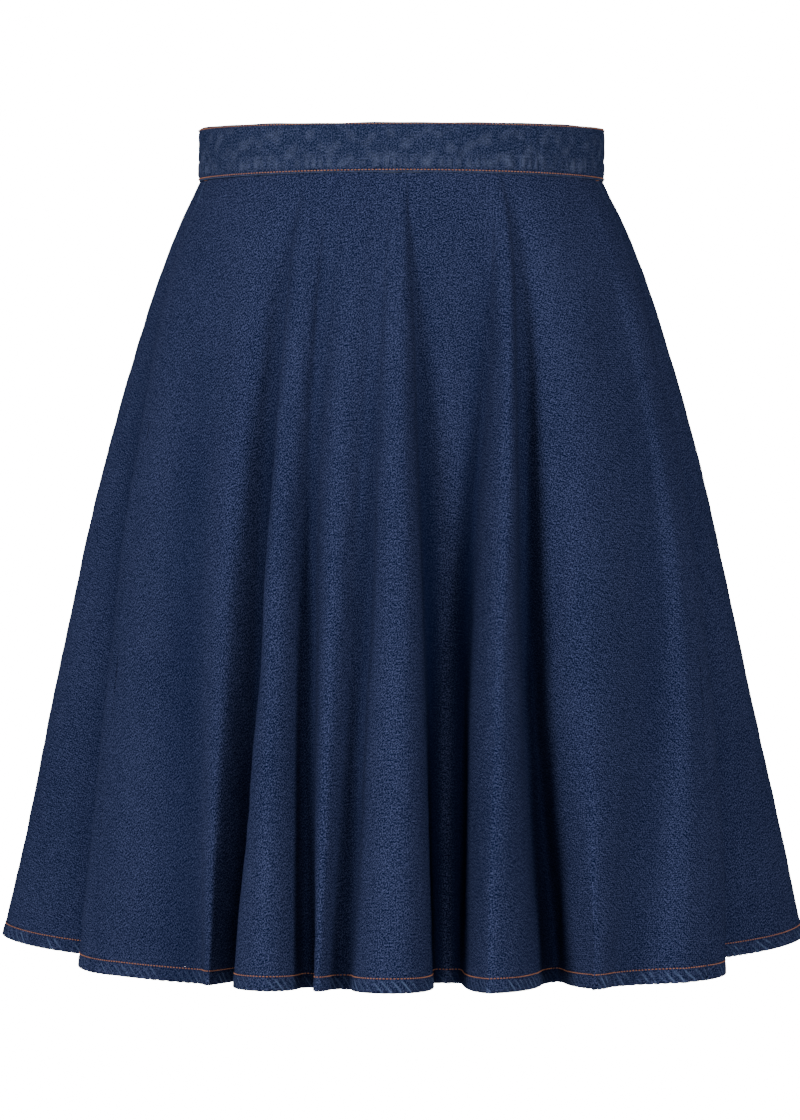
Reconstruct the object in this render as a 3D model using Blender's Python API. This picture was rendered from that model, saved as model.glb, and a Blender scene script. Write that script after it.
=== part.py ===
"""Circle skirt in light denim: a half circle of cloth hanging in deep folds from a straight
waistband, with side seam pockets and a concealed zip at the centre back.

The frame is +Z up with the front towards -Y. The origin is the middle of the waist, at half the
height of the band. The cloth is placed by two coordinates: how far down the cloth a point lies
from the waist seam, and its place round the skirt, counted in folds.
"""
import math

import bpy
import numpy as np

# Driving sizes, in metres
BAND_HEIGHT = 0.035
BAND_THICKNESS = 0.0028
BAND_TOP_RISE = 0.001
SEAM_DIP = 0.0018
SKIRT_LENGTH = 0.566
CLOTH_THICKNESS = 0.0014
HEM_HEIGHT = 0.011
HEM_THICKNESS = 0.0028
SEAM_GAP = 0.0003
HEM_DROP = 0.5455
HEM_LEVELLING = 0.7

# Half sizes of the skirt's plan: down the cloth, half width, depth to the front, depth to the back
SECTIONS = (
    (0.000, 0.1425, 0.106, 0.106),
    (0.030, 0.1580, 0.118, 0.120),
    (0.070, 0.1745, 0.131, 0.137),
    (0.130, 0.1945, 0.147, 0.156),
    (0.220, 0.2200, 0.170, 0.180),
    (0.380, 0.2560, 0.209, 0.217),
    (0.566, 0.2960, 0.254, 0.260),
)

# One row for each fold, from the left side round the front to the right side and the back.
# Valley and ridge are bearings in degrees at the waist, half way down and at the hem (0 is the
# front, 90 the right). Depth and retreat are how far the valley and the ridge lie inside the
# plan at the hem, in mm. The walls say how late each wall of the valley turns into its ridge,
# and the lean how many degrees one wall overhangs (+ the left one, - the right one).
#    valley                depth  ridge                 retreat  wall left, right  lean
FOLDS = (
    ((-80, -79, -77), 92, (-62, -59, -54), 42, (1.1, 2.4), 0.0),
    ((-52, -42, -34), 46, (-37, -33, -29), 33, (1.0, 1.0), 0.0),
    ((-29.5, -26, -27.5), 74, (-23.5, -21.5, -18), 2, (1.5, 2.5), -0.6),
    ((-17.5, -17, -14), 48, (-11.5, -11.5, -11.3), 12, (2.5, 1.6), 0.8),
    ((-5, -6.2, -8.4), 40, (-1.0, -0.6, -1.4), 0, (1.6, 2.4), -0.4),
    ((3, 5, 6.2), 88, (13, 9.0, 8.1), 86, (2.8, 1.0), 0.6),
    ((23.5, 13, 10.0), 88, (27.5, 17, 11), 0, (1.0, 2.0), -1.6),
    ((31, 24.5, 27), 72, (43, 33, 25.5), 2, (1.3, 2.2), -2.0),
    ((55, 50, 33.5), 20, (62, 56, 41.5), 8, (1.0, 1.2), 0.0),
    ((79, 75, 64), 92, (104, 108, 110), -10, (2.8, 1.0), 0.0),
    ((128, 133, 137), 66, (138, 143, 146), 1, (1.6, 1.8), 0.0),
    ((147, 152, 155), 50, (156, 160, 163), 6, (1.8, 1.8), 0.0),
    ((166, 169, 171), 62, (180, 181, 181.5), 0, (1.8, 2.0), 0.0),
    ((192, 191, 192), 60, (202, 202, 202), 4, (2.0, 1.8), 0.0),
    ((213, 212, 211), 54, (223, 220, 218), 2, (1.8, 1.6), 0.0),
    ((234, 229, 226), 66, (255, 252, 251), -8, (1.8, 1.6), 0.0),
)
LEVELS = (0.0, 0.5, 1.0)

# Places of the seams round the skirt, in folds. Near the waist the side seams run further back.
LEFT_SEAM = 0.46
RIGHT_SEAM = 8.54
BACK_SEAM = 12.5
SEAM_RUNS_BACK = ((0.0, 0.16), (0.05, 0.05), (0.09, 0.0))

# Half the width of a valley's rounded floor, in degrees, and at most this share of the distance
# to the middle between two valleys. The floor takes up this part of the way to the ridge.
VALLEY_HALF_WIDTH = 1.5
VALLEY_ROOM = 0.45
VALLEY_PART = 0.35

# How the cloth is divided into faces. No column of points stands nearer to a seam's own column
# than a small part of a fold, and each step down the cloth loses some height at least.
ROWS = (0.02, 0.05, 0.09, 0.14, 0.195, 0.25, 0.31, 0.37, 0.43, 0.49, 0.53)
HEM_STEP = 0.0007
ACROSS_HALF_FOLD = (0.0, 0.12, 0.30, 0.52, 0.76)
FINE_ROWS = 60
CLEAR_OF_SEAM = 0.045
STEEPEST_SHARE = 0.3

# Side seam pockets: where the opening stands out, and the rows and folds that the bag covers
POCKET_TOP = 0.035
POCKET_BOTTOM = 0.165
POCKET_STANDS_OUT = 0.0022
POCKET_REACH = 0.10
BAG_ROWS = (0.02, 0.25)
LEFT_BAG_END = 1.6
RIGHT_BAG_END = 7.35
BAG_THICKNESS = 0.0010

# Concealed zip at the centre back. Its tapes lie inside, and the slider stands between the
# ends of the band, which part around it.
TAPE_WIDTH = 0.014
TAPE_THICKNESS = 0.0006
TAPE_GAP = 0.0005
COIL_WIDTH = 0.0024
COIL_THICKNESS = 0.0018
ZIP_END = 0.195
BAND_END_GAP = 0.0006
BAND_GAP_AT_SLIDER = 0.0024
SLIDER_LOW = 0.0045
SLIDER_SIZE = (0.0056, 0.0046, 0.0090)
BRIDGE_SIZE = (0.0016, 0.0041, 0.0070)
BRIDGE_RISE = 0.001
METAL_EDGE = 0.0002
BRIDGE_BAR = 0.0009
BRIDGE_WINDOW = 0.0016
PIN_HEIGHT = 0.0075
PIN_OUT = 0.0024
PULL_THICKNESS = 0.0010
PULL_WINDOW = (0.0022, 0.0058)
# Below the pin's centre, half width
PULL_OUTLINE = (
    (-0.0005, 0.0022),
    (0.0064, 0.0022),
    (0.0085, 0.0016),
    (0.0165, 0.0025),
    (0.0185, 0.0022),
    (0.0195, 0.0011),
)


def spline(places, values, at):
    """A smooth curve through a few values."""
    places = np.asarray(places, float)
    values = np.asarray(values, float)
    steps = np.diff(places)
    slopes = np.diff(values) / steps
    turns = np.empty_like(values)
    turns[1:-1] = (slopes[:-1] * steps[1:] + slopes[1:] * steps[:-1]) / (steps[:-1] + steps[1:])
    turns[0] = 1.5 * slopes[0] - 0.5 * turns[1]
    turns[-1] = 1.5 * slopes[-1] - 0.5 * turns[-2]
    at = np.clip(np.asarray(at, float), places[0], places[-1])
    i = np.clip(np.searchsorted(places, at, side="right") - 1, 0, len(steps) - 1)
    h = steps[i]
    t = (at - places[i]) / h
    return ((2 * t**3 - 3 * t**2 + 1) * values[i] + (t**3 - 2 * t**2 + t) * h * turns[i]
            + (3 * t**2 - 2 * t**3) * values[i + 1] + (t**3 - t**2) * h * turns[i + 1])


def plan(down, bearing):
    """A point of the skirt's plan without folds, and the way out from it."""
    width, front, back = (spline([row[0] for row in SECTIONS], [row[i] for row in SECTIONS], down)
                          for i in (1, 2, 3))
    depth = np.where(np.cos(bearing) > 0, front, back)
    out_x = np.sin(bearing) / width
    out_y = -np.cos(bearing) / depth
    size = np.hypot(out_x, out_y)
    return width * np.sin(bearing), -depth * np.cos(bearing), out_x / size, out_y / size


def threads(down, places):
    """Where threads lie among the folds at one distance down, from their places at the hem."""
    back = np.interp(down, *zip(*SEAM_RUNS_BACK))
    hem = (0, LEFT_SEAM, 1, 8, RIGHT_SEAM, 9, len(FOLDS))
    here = (0, LEFT_SEAM - back, 1, 8, RIGHT_SEAM + back, 9, len(FOLDS))
    return np.interp(np.mod(places, len(FOLDS)), hem, here)


def ring(down, places):
    """Plan points of the folded cloth at one distance down it, and their bearings."""
    share = down / SKIRT_LENGTH
    places = threads(down, places)
    folds = list(FOLDS) + [FOLDS[0]]
    valley = np.array([float(spline(LEVELS, fold[0], share)) for fold in folds])
    valley[-1] += 360.0
    ridge = np.array([float(spline(LEVELS, fold[2], share)) for fold in FOLDS])
    depth = np.array([fold[1] for fold in folds]) * 0.001 * share
    retreat = np.array([fold[3] for fold in FOLDS]) * 0.001 * share
    wall = np.array([fold[4] for fold in folds])
    lean = np.array([fold[5] for fold in folds]) * share

    fold = np.minimum(np.floor(places).astype(int), len(FOLDS) - 1)
    part = places - fold
    falling = part >= 0.5
    near = np.where(falling, fold + 1, fold)
    u = np.where(falling, 2 - 2 * part, 2 * part)
    side = np.where(falling, -1.0, 1.0)
    span = ridge[fold] - valley[near]
    power = np.where(falling, wall[near, 0], wall[near, 1])
    overhang = np.where(falling, np.maximum(lean[near], 0), np.minimum(lean[near], 0))
    height = depth[near] - retreat[fold]
    overhang = overhang * height / np.maximum(depth[near], 1e-9)
    room = VALLEY_ROOM * np.diff(valley)[fold] / 2
    floor = side * np.minimum(VALLEY_HALF_WIDTH, room)
    rounding = np.sin(np.minimum(u / VALLEY_PART, 1.0) * math.pi / 2)
    turn = floor * rounding + (span - floor) * u**power
    bearing = np.radians(valley[near] + turn + overhang * np.sin(math.pi * u)**2)
    inside = depth[near] - height * (1 - np.cos(math.pi * u)) / 2
    x, y, out_x, out_y = plan(down, bearing)
    return x - out_x * inside, y - out_y * inside, bearing


def hang(places):
    """Heights of the cloth at evenly spaced distances down it. Each thread keeps its length on
    its way out and down, and the hem is then levelled, as it is when the skirt is trimmed."""
    downs = np.linspace(0.0, SKIRT_LENGTH, FINE_ROWS + 1)
    step = downs[1]
    least = STEEPEST_SHARE * step
    x, y, bearing = ring(0.0, places)
    z = [-BAND_HEIGHT / 2 - SEAM_DIP * np.sin(bearing)**2]
    for down in downs[1:]:
        next_x, next_y, bearing = ring(down, places)
        out = (next_x - x) * np.sin(bearing) - (next_y - y) * np.cos(bearing)
        z.append(z[-1] - np.sqrt(np.maximum(step**2 - out**2, least**2)))
        x, y = next_x, next_y
    z = np.array(z)
    scale = 1 + HEM_LEVELLING * (HEM_DROP / (z[0] - z[-1]) - 1)
    return downs, z[0] + (z - z[0]) * scale


def cloth(rows, places):
    """The middle of the cloth: one row of points for each distance down it."""
    downs, heights = hang(places)
    points = np.empty((len(rows), len(places), 3))
    for i, down in enumerate(rows):
        points[i, :, 0], points[i, :, 1], _ = ring(down, places)
        k = min(int(down / downs[1]), FINE_ROWS - 1)
        share = down / downs[1] - k
        points[i, :, 2] = heights[k] * (1 - share) + heights[k + 1] * share
    return points


def unit(vectors):
    return vectors / np.linalg.norm(vectors, axis=-1, keepdims=True)


def ways_out(points):
    """Outward directions of a closed ring of cloth at its points."""
    round_it = np.roll(points, -1, axis=1) - np.roll(points, 1, axis=1)
    down_it = np.gradient(points, axis=0)
    out = np.cross(down_it, round_it)
    # The cloth meets the waist seam upright, so that it lies edge to edge with the band
    out[0, :, 2] = 0.0
    return unit(out)


def all_places():
    """Places of the columns of points round the whole skirt, from the left side seam."""
    halves = np.array(ACROSS_HALF_FOLD) / 2
    one_fold = np.concatenate([halves, [0.5], 1 - halves[:0:-1]])
    places = np.concatenate([one_fold + i for i in range(len(FOLDS))])
    seams = (LEFT_SEAM, RIGHT_SEAM, BACK_SEAM)
    places = [p for p in places if min(abs(p - seam) for seam in seams) > CLEAR_OF_SEAM]
    places = np.array(places + list(seams))
    return np.sort(np.where(places < LEFT_SEAM, places + len(FOLDS), places))


def new_object(name, mesh_points, faces, material, smooth_angle=40):
    mesh = bpy.data.meshes.new(name)
    mesh.from_pydata([tuple(map(float, p)) for p in mesh_points], [], faces)
    mesh.update()
    mesh.shade_smooth()
    mesh.set_sharp_from_angle(angle=math.radians(smooth_angle))
    made = bpy.data.objects.new(name, mesh)
    made.data.materials.append(material)
    bpy.context.scene.collection.objects.link(made)
    return made


def wall(name, outer, inner, material):
    """A closed wall between two grids of points of the same size."""
    rows, columns = outer.shape[:2]
    points = np.concatenate([outer.reshape(-1, 3), inner.reshape(-1, 3)])
    back = rows * columns

    def at(i, j):
        return i * columns + j

    faces = []
    for i in range(rows - 1):
        for j in range(columns - 1):
            # Both faces of every piece are split the same way, so that layers stay parallel
            for face in ((at(i, j), at(i + 1, j), at(i + 1, j + 1)),
                         (at(i, j), at(i + 1, j + 1), at(i, j + 1))):
                faces.append(face)
                faces.append(tuple(back + k for k in reversed(face)))
    edge = [at(i, 0) for i in range(rows)]
    edge += [at(rows - 1, j) for j in range(1, columns)]
    edge += [at(i, columns - 1) for i in range(rows - 2, -1, -1)]
    edge += [at(0, j) for j in range(columns - 2, 0, -1)]
    for a, b in zip(edge, edge[1:] + edge[:1]):
        faces.append((b, a, back + a, back + b))
    return new_object(name, points, faces, material)


def draw_in(grid, gap):
    """Moves both side edges of a grid of points inwards by half a gap each."""
    grid = grid.copy()
    grid[:, 0] += unit(grid[:, 1] - grid[:, 0]) * gap / 2
    grid[:, -1] += unit(grid[:, -2] - grid[:, -1]) * gap / 2
    return grid


def measured_along(line, values, distances):
    """Values given at the points of a line, at wanted distances along it."""
    lengths = np.linalg.norm(np.diff(line, axis=0), axis=1)
    along = np.concatenate([[0.0], np.cumsum(lengths)])
    return np.column_stack([np.interp(distances, along, values[:, k]) for k in range(3)])


def pocket_lift(rows, places):
    """How far the front panel's edges stand out along the pocket openings."""
    share = (np.array(rows) - POCKET_TOP) / (POCKET_BOTTOM - POCKET_TOP)
    along = np.where((share > 0) & (share < 1), np.sin(math.pi * np.clip(share, 0, 1)), 0)
    across = sum(np.exp(-((places - seam) / POCKET_REACH)**2) for seam in (LEFT_SEAM, RIGHT_SEAM))
    return POCKET_STANDS_OUT * along[:, None] * across[None, :]


def make_panels(rows, places, points, out, material):
    """Front and back panels: cloth of one thickness, and two thicknesses at the turned hem."""
    half = CLOTH_THICKNESS / 2
    deep = np.where(np.array(rows) > SKIRT_LENGTH - HEM_HEIGHT, HEM_THICKNESS - half, half)
    spans = {"front_panel": (LEFT_SEAM, RIGHT_SEAM),
             "back_panel_right": (RIGHT_SEAM, BACK_SEAM),
             "back_panel_left": (BACK_SEAM, LEFT_SEAM + len(FOLDS))}
    for name, (start, end) in spans.items():
        pick = np.where((places >= start) & (places <= end))[0]
        if name == "back_panel_left":
            pick = np.append(pick, 0)
        lift = 0.0
        if name == "front_panel":
            lift = pocket_lift(rows, places[pick])[:, :, None]
        middle = points[:, pick] + out[:, pick] * lift
        outer = middle + out[:, pick] * half
        inner = middle - out[:, pick] * deep[:, None, None]
        wall(name, draw_in(outer, SEAM_GAP), draw_in(inner, SEAM_GAP), material)


def make_pocket_bags(rows, places, points, out, material):
    """Two layers of pocket cloth hanging inside the front panel, from each side seam."""
    spans = {"pocket_bag_left": (LEFT_SEAM, LEFT_BAG_END),
             "pocket_bag_right": (RIGHT_BAG_END, RIGHT_SEAM)}
    down = [i for i, row in enumerate(rows) if BAG_ROWS[0] - 0.001 <= row <= BAG_ROWS[1] + 0.001]
    near = CLOTH_THICKNESS / 2 + SEAM_GAP
    for name, (start, end) in spans.items():
        pick = np.where((places >= start) & (places <= end))[0]
        lift = pocket_lift(rows, places[pick])[:, :, None]
        middle = (points[:, pick] + out[:, pick] * lift)[down]
        way = out[:, pick][down]
        outer = draw_in(middle - way * near, SEAM_GAP)
        inner = draw_in(middle - way * (near + BAG_THICKNESS), SEAM_GAP)
        wall(name, outer, inner, material)


def band_levels(x, y):
    """Heights of the band's rows: its seam, below and above the place where it starts to part
    for the slider, and its top."""
    side = (x / SECTIONS[0][1])**2
    low = -BAND_HEIGHT / 2 - SEAM_DIP * side + SEAM_GAP / 2
    high = BAND_HEIGHT / 2 + BAND_TOP_RISE * side
    return np.array([high, 0 * side + SLIDER_LOW, 0 * side - SLIDER_LOW, low])


def band_points(places):
    x, y, bearing = ring(0.0, places)
    _, _, out_x, out_y = plan(0.0, bearing)
    levels = band_levels(x, y)
    flat = np.stack([x, y], axis=1)
    points = np.array([np.column_stack([flat, level]) for level in levels])
    out = np.column_stack([out_x, out_y, 0 * x])[None]
    return points, out


def make_band(places, material):
    """The waistband, whose ends meet at the centre back and part around the slider."""
    order = np.concatenate([places[places >= BACK_SEAM] - len(FOLDS), places[places < BACK_SEAM],
                            [BACK_SEAM]])
    points, out = band_points(order)
    gaps = np.array([BAND_GAP_AT_SLIDER, BAND_GAP_AT_SLIDER, BAND_END_GAP, BAND_END_GAP])
    gaps = gaps[:, None]
    walls = []
    for side in (0.5, -0.5):
        walls.append(draw_in(points + out * BAND_THICKNESS * side, gaps))
    wall("waistband", walls[0], walls[1], material)


def make_zip_tapes(rows, places, points, out, material):
    """The zip's two tapes, each with its coil, on the inside of the band and the back panels."""
    back = int(np.argmin(abs(places - BACK_SEAM)))
    near_band = BAND_THICKNESS / 2 + SEAM_GAP
    near_cloth = CLOTH_THICKNESS / 2 + TAPE_GAP
    down = [i for i, row in enumerate(rows) if row <= ZIP_END + 0.001][1:]
    across = np.array([BAND_END_GAP / 2, COIL_WIDTH, COIL_WIDTH + TAPE_THICKNESS, TAPE_WIDTH])
    thick = np.array([COIL_THICKNESS, COIL_THICKNESS, TAPE_THICKNESS, TAPE_THICKNESS])[:, None]
    for name, step in (("zip_tape_right", -1), ("zip_tape_left", 1)):
        columns = [back, back + step, back + 2 * step]
        outer = []
        ways = []
        for height in (SLIDER_LOW - SEAM_GAP, -BAND_HEIGHT / 2 + SEAM_GAP):
            line = points[0, columns] - out[0, columns] * near_band
            line[:, 2] = height
            outer.append(line)
            ways.append(out[0, columns])
        for i in down:
            outer.append(points[i, columns] - out[i, columns] * near_cloth)
            ways.append(out[i, columns])
        ways = [measured_along(line, way, across) for line, way in zip(outer, ways)]
        outer = np.array([measured_along(line, line, across) for line in outer])
        inner = outer - unit(np.array(ways)) * thick
        if step < 0:
            outer, inner = outer[:, ::-1], inner[:, ::-1]
        wall(name, outer, inner, material)


def make_box(name, low, high, material):
    corners = [(x, y, z) for x in (low[0], high[0]) for y in (low[1], high[1])
               for z in (low[2], high[2])]
    faces = [(0, 1, 3, 2), (4, 6, 7, 5), (0, 4, 5, 1), (2, 3, 7, 6), (0, 2, 6, 4), (1, 5, 7, 3)]
    return new_object(name, corners, faces, material)


def cut_or_join(target, tool, operation):
    modifier = target.modifiers.new(operation.lower() + "_" + tool.name, "BOOLEAN")
    modifier.object = tool
    modifier.operation = operation
    tool.hide_render = True
    tool.display_type = "WIRE"


def soften(target):
    modifier = target.modifiers.new("rounded_edges", "BEVEL")
    modifier.width = METAL_EDGE
    modifier.segments = 2
    modifier.limit_method = "ANGLE"


def make_slider(material):
    """The slider: a body behind the band, and a bridge that stands out between its ends."""
    face = SECTIONS[0][3] + BAND_THICKNESS / 2
    back = SECTIONS[0][3] - BAND_THICKNESS / 2 - SEAM_GAP
    width, depth, height = SLIDER_SIZE
    body = make_box("zip_slider", (-width / 2, back - depth, SLIDER_LOW),
                    (width / 2, back, SLIDER_LOW + height), material)
    width, proud, height = BRIDGE_SIZE
    low = SLIDER_LOW + BRIDGE_RISE
    bridge = make_box("bridge_form", (-width / 2, back - depth / 2, low),
                      (width / 2, face + proud, low + height), material)
    window_far = face + proud - BRIDGE_BAR
    window = make_box("window_form", (-width, window_far - BRIDGE_WINDOW, low + BRIDGE_BAR),
                      (width, window_far, low + height - BRIDGE_BAR), material)
    cut_or_join(body, bridge, "UNION")
    cut_or_join(body, window, "DIFFERENCE")
    soften(body)


def make_pull(material):
    """The pull tab, hung on the bridge by the bar above its window. Its origin is on its hinge."""
    hinge = (0.0, SECTIONS[0][3] + BAND_THICKNESS / 2 + PIN_OUT, PIN_HEIGHT)
    half = PULL_THICKNESS / 2
    outline = [(w, -down) for down, w in PULL_OUTLINE]
    outline += [(-w, -down) for down, w in reversed(PULL_OUTLINE)]
    count = len(outline)
    points = [(x, y, z) for y in (-half, half) for x, z in outline]
    faces = [tuple(range(count)), tuple(reversed(range(count, 2 * count)))]
    for i in range(count):
        j = (i + 1) % count
        faces.append((j, i, i + count, j + count))
    pull = new_object("zip_pull", points, faces, material)
    width, height = PULL_WINDOW
    window = make_box("pull_window_form", (-width / 2, -PULL_THICKNESS, -half - height),
                      (width / 2, PULL_THICKNESS, -half), material)
    window.parent = pull
    cut_or_join(pull, window, "DIFFERENCE")
    soften(pull)
    pull.location = hinge


def make_material(name, colour, roughness, metallic=0.0):
    material = bpy.data.materials.new(name)
    material.use_nodes = True
    shader = material.node_tree.nodes["Principled BSDF"]
    shader.inputs["Base Color"].default_value = (*colour, 1.0)
    shader.inputs["Roughness"].default_value = roughness
    shader.inputs["Metallic"].default_value = metallic
    return material


def main():
    for old in list(bpy.data.objects):
        bpy.data.objects.remove(old)
    denim = make_material("denim", (0.022, 0.042, 0.092), 0.85)
    band_denim = make_material("band_denim", (0.030, 0.050, 0.098), 0.85)
    bag_cotton = make_material("bag_cotton", (0.55, 0.54, 0.50), 0.9)
    tape_navy = make_material("tape_navy", (0.010, 0.015, 0.035), 0.7)
    zip_metal = make_material("zip_metal", (0.06, 0.07, 0.10), 0.35, 0.6)

    hem_top = SKIRT_LENGTH - HEM_HEIGHT
    rows = (SEAM_GAP / 2, *ROWS, hem_top - HEM_STEP, hem_top + HEM_STEP, SKIRT_LENGTH)
    places = all_places()
    points = cloth(rows, places)
    out = ways_out(points)
    make_panels(rows, places, points, out, denim)
    make_pocket_bags(rows, places, points, out, bag_cotton)
    make_band(places, band_denim)
    make_zip_tapes(rows, places, points, out, tape_navy)
    make_slider(zip_metal)
    make_pull(zip_metal)


main()
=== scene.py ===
import math

import bpy
import numpy as np
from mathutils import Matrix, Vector


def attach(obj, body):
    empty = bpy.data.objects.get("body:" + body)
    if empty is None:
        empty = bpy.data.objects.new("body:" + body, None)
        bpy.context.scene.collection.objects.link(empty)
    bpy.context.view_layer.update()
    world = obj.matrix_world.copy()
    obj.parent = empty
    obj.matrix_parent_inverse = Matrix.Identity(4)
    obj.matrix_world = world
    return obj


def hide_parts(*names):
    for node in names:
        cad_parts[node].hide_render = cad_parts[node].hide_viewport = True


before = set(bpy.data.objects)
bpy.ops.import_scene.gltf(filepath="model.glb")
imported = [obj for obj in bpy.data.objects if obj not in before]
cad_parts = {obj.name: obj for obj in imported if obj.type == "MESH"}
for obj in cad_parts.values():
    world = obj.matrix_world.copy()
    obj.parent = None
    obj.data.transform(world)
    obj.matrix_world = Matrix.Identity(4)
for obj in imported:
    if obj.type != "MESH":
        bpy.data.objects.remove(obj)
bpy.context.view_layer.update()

# Sizes shared with the CAD source, in metres
BAND_HEIGHT = 0.035
BAND_THICKNESS = 0.0028
BAND_TOP_RISE = 0.001
SEAM_DIP = 0.0018
SKIRT_LENGTH = 0.566
CLOTH_THICKNESS = 0.0014
HEM_HEIGHT = 0.011
HEM_THICKNESS = 0.0028
HEM_TOP = SKIRT_LENGTH - HEM_HEIGHT
SEAM_GAP = 0.0003
HEM_DROP = 0.5455
HEM_LEVELLING = 0.7

# Half sizes of the skirt's plan: down the cloth, half width, depth to the front, depth to the back
SECTIONS = (
    (0.000, 0.1425, 0.106, 0.106),
    (0.030, 0.1580, 0.118, 0.120),
    (0.070, 0.1745, 0.131, 0.137),
    (0.130, 0.1945, 0.147, 0.156),
    (0.220, 0.2200, 0.170, 0.180),
    (0.380, 0.2560, 0.209, 0.217),
    (0.566, 0.2960, 0.254, 0.260),
)

# Folds: valley bearings (waist, middle, hem), valley depth at the hem in mm, ridge bearings,
# ridge retreat in mm, how late each wall turns into its ridge, overhang in degrees
FOLDS = (
    ((-80, -79, -77), 92, (-62, -59, -54), 42, (1.1, 2.4), 0.0),
    ((-52, -42, -34), 46, (-37, -33, -29), 33, (1.0, 1.0), 0.0),
    ((-29.5, -26, -27.5), 74, (-23.5, -21.5, -18), 2, (1.5, 2.5), -0.6),
    ((-17.5, -17, -14), 48, (-11.5, -11.5, -11.3), 12, (2.5, 1.6), 0.8),
    ((-5, -6.2, -8.4), 40, (-1.0, -0.6, -1.4), 0, (1.6, 2.4), -0.4),
    ((3, 5, 6.2), 88, (13, 9.0, 8.1), 86, (2.8, 1.0), 0.6),
    ((23.5, 13, 10.0), 88, (27.5, 17, 11), 0, (1.0, 2.0), -1.6),
    ((31, 24.5, 27), 72, (43, 33, 25.5), 2, (1.3, 2.2), -2.0),
    ((55, 50, 33.5), 20, (62, 56, 41.5), 8, (1.0, 1.2), 0.0),
    ((79, 75, 64), 92, (104, 108, 110), -10, (2.8, 1.0), 0.0),
    ((128, 133, 137), 66, (138, 143, 146), 1, (1.6, 1.8), 0.0),
    ((147, 152, 155), 50, (156, 160, 163), 6, (1.8, 1.8), 0.0),
    ((166, 169, 171), 62, (180, 181, 181.5), 0, (1.8, 2.0), 0.0),
    ((192, 191, 192), 60, (202, 202, 202), 4, (2.0, 1.8), 0.0),
    ((213, 212, 211), 54, (223, 220, 218), 2, (1.8, 1.6), 0.0),
    ((234, 229, 226), 66, (255, 252, 251), -8, (1.8, 1.6), 0.0),
)
LEVELS = (0.0, 0.5, 1.0)
LEFT_SEAM = 0.46
RIGHT_SEAM = 8.54
BACK_SEAM = 12.5
SEAM_RUNS_BACK = ((0.0, 0.16), (0.05, 0.05), (0.09, 0.0))
VALLEY_HALF_WIDTH = 1.5
VALLEY_ROOM = 0.45
VALLEY_PART = 0.35
FINE_ROWS = 60
STEEPEST_SHARE = 0.3
PANELS = {
    "front_panel": (LEFT_SEAM, RIGHT_SEAM),
    "back_panel_right": (RIGHT_SEAM, BACK_SEAM),
    "back_panel_left": (BACK_SEAM, LEFT_SEAM + len(FOLDS)),
}

# The cut: radius of the waist line in the flat half circle, and each panel's flat size and area
FLAT_WAIST_RADIUS = 0.25
PANEL_CUTS = {
    "front_panel": ((1.005, 0.619), 0.400),
    "back_panel_right": ((0.714, 0.591), 0.2735),
    "back_panel_left": ((0.714, 0.591), 0.2735),
}
BAND_CUT_AWAY = 8.0

# Pockets and zip, as in the CAD source
POCKET_TOP = 0.035
POCKET_BOTTOM = 0.165
POCKET_STANDS_OUT = 0.0022
POCKET_REACH = 0.011
BAG_ROWS = (0.02, 0.25)
BAG_SPANS = {"pocket_bag_left": (LEFT_SEAM, 1.6), "pocket_bag_right": (7.35, RIGHT_SEAM)}
BAG_THICKNESS = 0.0010
BAG_STANDS_IN = 0.0004
TAPE_WIDTH = 0.014
TAPE_THICKNESS = 0.0006
TAPE_GAP = 0.0005
ZIP_START = 0.004
ZIP_END = 0.195
BAND_END_GAP = 0.0006
BAND_GAP_AT_SLIDER = 0.0024
BAND_GAP_WIDENS = (-0.0045, 0.004)
BAND_GAP_REACH = 0.02
SLIDER_LOW = 0.0045

# Fine meshes: columns and rows, and widths of columns in metres
COLUMNS_A_FOLD = 30
PANEL_ROWS = 118
SECOND_ROW = 0.003
HEM_COLUMN = 0.0012
HEM_SAMPLES = 4000
HEM_LEVELS = (0.0, 0.04, 0.10, 0.16, 0.25, 0.36, 0.48, 0.60, 0.72, 0.83, 0.92)
HEM_LEVELS_REACH = 0.985
HEM_FOLD_ANGLES = (24, 52, 79, 101, 128, 156)
BAND_COLUMN = 0.0012
BAND_LEVELS = (0.012, 0.035, 0.06, *np.linspace(0.085, 0.915, 26), 0.945, 0.972, 0.99)
BAG_GRID = (56, 34)
ZIP_GRID = (60, 24)
ZIP_BAND_ROWS = 8
ZIP_PLACES = 0.42
SEAM_OVERLAP = 0.0002
SHARP_ANGLE = 60

# Unevenness: size of its waves in metres, seed, stretch of the second direction, mean and height
UNEVEN = {
    "long_folds": (0.055, 3, 0.28, 0.0, 0.00055),
    "dimples": (0.016, 8, 0.6, 0.0, 0.00016),
    "waist_puckers": (0.011, 5, 0.15, 0.0, 0.0003),
    "rope_slip": (0.05, 21, 1.0, 0.0, 0.0022),
    "rope_strength": (0.06, 33, 1.0, 0.55, 0.45),
    "rope_wear": (0.02, 40, 1.0, 0.62, 0.6),
    "ledge": (0.07, 51, 1.0, 0.0122, 0.0006),
    "patches": (0.045, 52, 1.0, 0.62, 0.5),
    "pucker_slip": (0.04, 53, 1.0, 0.0, 0.0034),
    "band_fine": (0.012, 54, 1.0, 0.0, 0.00022),
    "band_broad": (0.030, 55, 1.0, 0.0, 0.00028),
    "band_wear": (0.014, 56, 1.0, 0.0, 1.0),
    "band_inside": (0.014, 60, 1.0, 0.0, 0.00012),
    "band_top": (0.05, 61, 1.0, 0.0, 0.00035),
    "bag_crease": (0.03, 70, 1.0, 0.0, 0.0003),
}
WAVE_COUNT = 9
WAVE_SIZES = (0.7, 1.5)
WAVE_SPREAD = 1.6

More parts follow.
